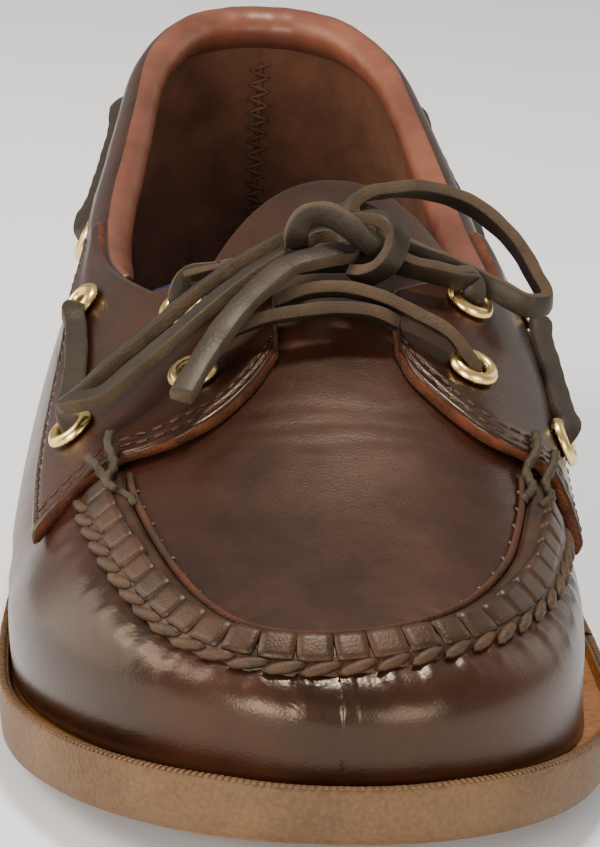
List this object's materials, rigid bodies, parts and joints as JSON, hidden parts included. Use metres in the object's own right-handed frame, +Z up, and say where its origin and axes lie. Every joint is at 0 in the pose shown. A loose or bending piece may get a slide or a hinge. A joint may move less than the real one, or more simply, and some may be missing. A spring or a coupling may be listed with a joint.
{
  "type": "boat shoe",
  "caption": "Brown leather boat shoe, right foot: hand-sewn moccasin toe, saddle flaps, brass eyelets, rawhide lace tied in a bow and a gum rubber sole.",
  "frame": {"origin": "on the floor under the middle of the sole's length, at the forefoot's flat spot", "axes": "+Z up, +Y to the heel, -Y to the toe, +X to the inner (medial) side of the right foot"},
  "size_m": [0.1105, 0.296, 0.0925],
  "materials": {
    "gum_rubber": "matte, lightly pebbled",
    "blue_footbed": "matte",
    "brown_leather": "satin, oiled",
    "seam_leather": "satin",
    "brass": "polished",
    "rawhide": "matte"
  },
  "bodies": {
    "root": {"outsole": "gum_rubber", "insole": "blue_footbed", "upper": "brown_leather", "saddle_lateral": "brown_leather", "saddle_medial": "brown_leather", "moc_seam": "seam_leather", "tongue": "brown_leather", "back_strip": "brown_leather", "eyelet_front_lower_lateral": "brass", "eyelet_front_upper_lateral": "brass", "eyelet_front_lower_medial": "brass", "eyelet_front_upper_medial": "brass", "eyelet_side_1_lateral": "brass", "eyelet_side_2_lateral": "brass", "eyelet_side_3_lateral": "brass", "eyelet_side_4_lateral": "brass", "eyelet_side_1_medial": "brass", "eyelet_side_2_medial": "brass", "eyelet_side_3_medial": "brass", "eyelet_side_4_medial": "brass", "side_lace_front_lateral": "rawhide", "side_lace_rear_lateral": "rawhide", "side_lace_front_medial": "rawhide", "side_lace_rear_medial": "rawhide", "lace_bars": "rawhide", "lace_bow_lateral": "rawhide", "lace_bow_medial": "rawhide"}
  },
  "joints": []
}
